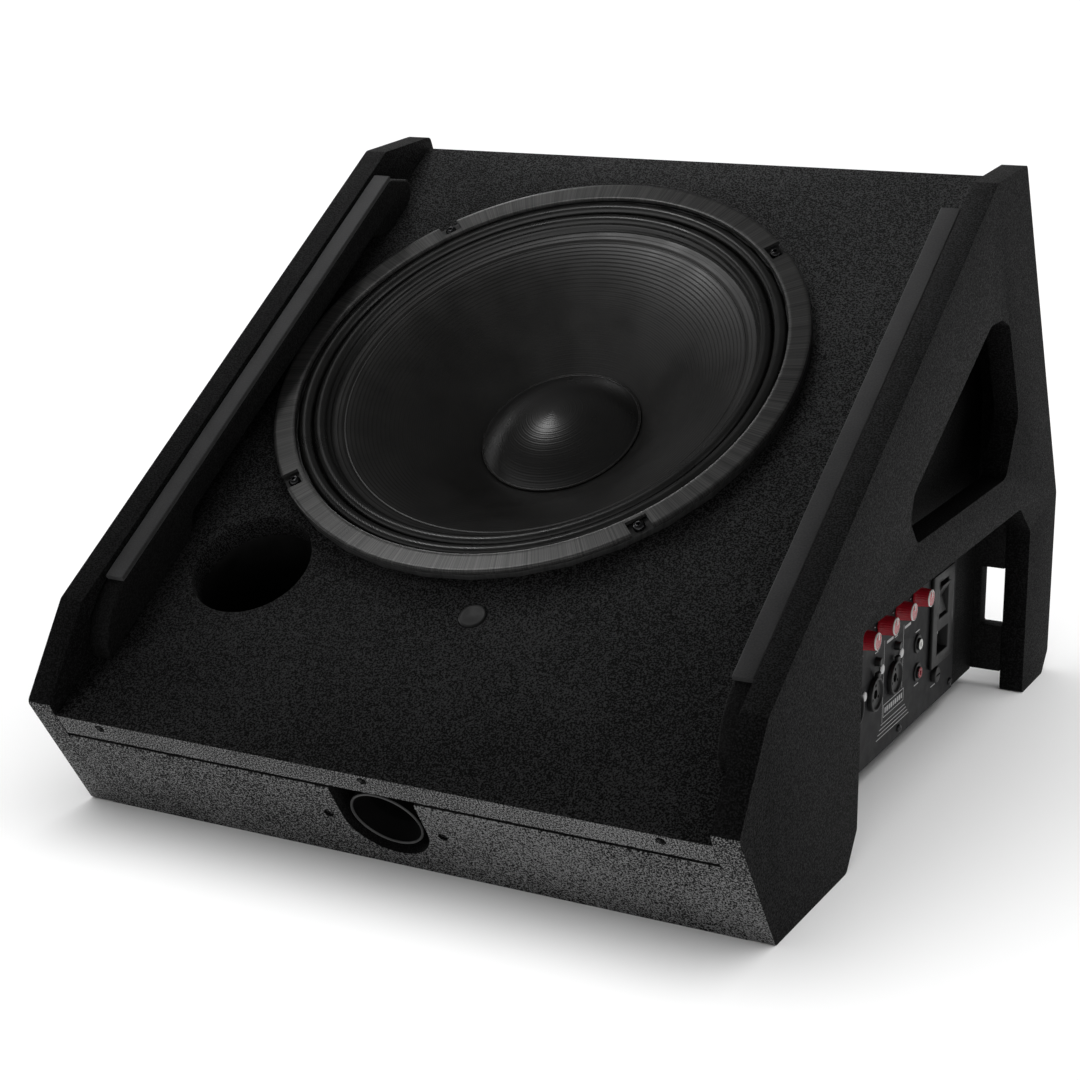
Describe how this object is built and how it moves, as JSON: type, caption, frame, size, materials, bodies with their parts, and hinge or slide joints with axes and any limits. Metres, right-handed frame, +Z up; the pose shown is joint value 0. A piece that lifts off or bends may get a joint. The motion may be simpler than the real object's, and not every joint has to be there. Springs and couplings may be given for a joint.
{
  "type": "stage monitor wedge",
  "caption": "Black plywood floor monitor wedge with its grille off: open side panels, large driver on a sloping baffle, port, pole cup and side connector panel.",
  "frame": {"origin": "on the floor under the middle of the wedge's box", "axes": "+Z up; -Y towards the front board; +X towards the side with the connector panel"},
  "size_m": [0.508, 0.627, 0.413],
  "materials": {
    "cabinet_paint": "black textured coating over plywood",
    "ledge_foam": "dark grey closed-cell foam strip",
    "steel": "plated steel",
    "aluminium": "extruded",
    "ring_metal": "dark grey, fine radial grain",
    "basket_metal": "black",
    "surround_rubber": "doped cloth, semi-gloss black",
    "cone_paper": "black coated paper, semi-gloss",
    "copper_winding": "enamelled winding",
    "spider_cloth": "impregnated cloth",
    "ferrite": "ferrite",
    "panel_paint": "satin black",
    "circuit_board": "green circuit board",
    "wadding": "loose polyester wadding",
    "red_plastic": "red moulded plastic",
    "white_plastic": "white moulded plastic",
    "black_plastic": "black moulded plastic"
  },
  "bodies": {
    "cabinet": {"acoustic_wadding": "wadding", "amp_board": "circuit_board", "amp_panel": "panel_paint", "amp_tray": "steel", "back_plate": "steel", "baffle_board": "cabinet_paint", "baffle_plug": "black_plastic", "bottom_panel": "cabinet_paint", "combo_jack_1": "black_plastic", "combo_jack_2": "black_plastic", "front_panel": "cabinet_paint", "fuse_cap": "black_plastic", "grille_insert_centre": "steel", "grille_insert_left": "steel", "grille_insert_right": "steel", "grille_ledge_left": "cabinet_paint", "grille_ledge_right": "cabinet_paint", "heat_sink": "aluminium", "hf_driver": "steel", "inner_wall_left": "cabinet_paint", "inner_wall_right": "cabinet_paint", "ledge_foam_left": "ledge_foam", "ledge_foam_right": "ledge_foam", "magnet": "ferrite", "mains_inlet": "black_plastic", "phono_socket_red": "red_plastic", "phono_socket_white": "white_plastic", "pole_cup": "black_plastic", "pole_cup_screw_left": "steel", "pole_cup_screw_right": "steel", "port_tube": "black_plastic", "rear_panel_lower": "cabinet_paint", "rear_panel_upper": "cabinet_paint", "side_panel_left": "cabinet_paint", "side_panel_right": "cabinet_paint", "top_plate": "steel", "transformer": "copper_winding", "woofer_frame": "basket_metal", "woofer_screw_1": "steel", "woofer_screw_2": "steel", "woofer_screw_3": "steel", "woofer_screw_4": "steel", "woofer_trim_ring": "ring_metal", "xlr_output": "black_plastic"},
    "cone": {"woofer_cone": "cone_paper", "dust_cap": "cone_paper", "voice_coil": "copper_winding", "woofer_surround": "surround_rubber", "spider": "spider_cloth"},
    "rocker": {"rocker_switch": "black_plastic"},
    "knob_1": {"gain_knob_1": "red_plastic"},
    "knob_2": {"gain_knob_2": "red_plastic"},
    "knob_3": {"gain_knob_3": "red_plastic"},
    "knob_4": {"gain_knob_4": "red_plastic"},
    "button_1": {"input_button_1": "black_plastic"},
    "latch_1": {"latch_tab_1": "black_plastic"},
    "button_2": {"input_button_2": "black_plastic"},
    "latch_2": {"latch_tab_2": "black_plastic"}
  },
  "joints": [
    {"name": "cone_travel", "type": "slide", "parent": "cabinet", "child": "cone", "axis": [0, -0.5505, 0.8348], "range_m": [-0.006, 0.006], "stiffness_N_per_m": 5000, "deforming": ["woofer_surround", "spider"]},
    {"name": "gain_1", "type": "hinge", "parent": "cabinet", "child": "knob_1", "pos_m": [0.2143, -0.01415, 0.114], "axis": [1, 0, 0], "range_deg": [-145, 145]},
    {"name": "gain_2", "type": "hinge", "parent": "cabinet", "child": "knob_2", "pos_m": [0.2143, 0.02285, 0.114], "axis": [1, 0, 0], "range_deg": [-145, 145]},
    {"name": "gain_3", "type": "hinge", "parent": "cabinet", "child": "knob_3", "pos_m": [0.2143, 0.05985, 0.114], "axis": [1, 0, 0], "range_deg": [-145, 145]},
    {"name": "gain_4", "type": "hinge", "parent": "cabinet", "child": "knob_4", "pos_m": [0.2143, 0.09685, 0.114], "axis": [1, 0, 0], "range_deg": [-145, 145]},
    {"name": "power_rocker", "type": "hinge", "parent": "cabinet", "child": "rocker", "pos_m": [0.2143, 0.15485, 0.0975], "axis": [0, 1, 0], "range_deg": [-15.5, 0]},
    {"name": "input_press_1", "type": "slide", "parent": "cabinet", "child": "button_1", "axis": [-1, 0, 0], "range_m": [0, 0.002], "stiffness_N_per_m": 150},
    {"name": "latch_press_1", "type": "slide", "parent": "cabinet", "child": "latch_1", "axis": [-1, 0, 0], "range_m": [0, 0.001], "stiffness_N_per_m": 300},
    {"name": "input_press_2", "type": "slide", "parent": "cabinet", "child": "button_2", "axis": [-1, 0, 0], "range_m": [0, 0.002], "stiffness_N_per_m": 150},
    {"name": "latch_press_2", "type": "slide", "parent": "cabinet", "child": "latch_2", "axis": [-1, 0, 0], "range_m": [0, 0.001], "stiffness_N_per_m": 300}
  ]
}
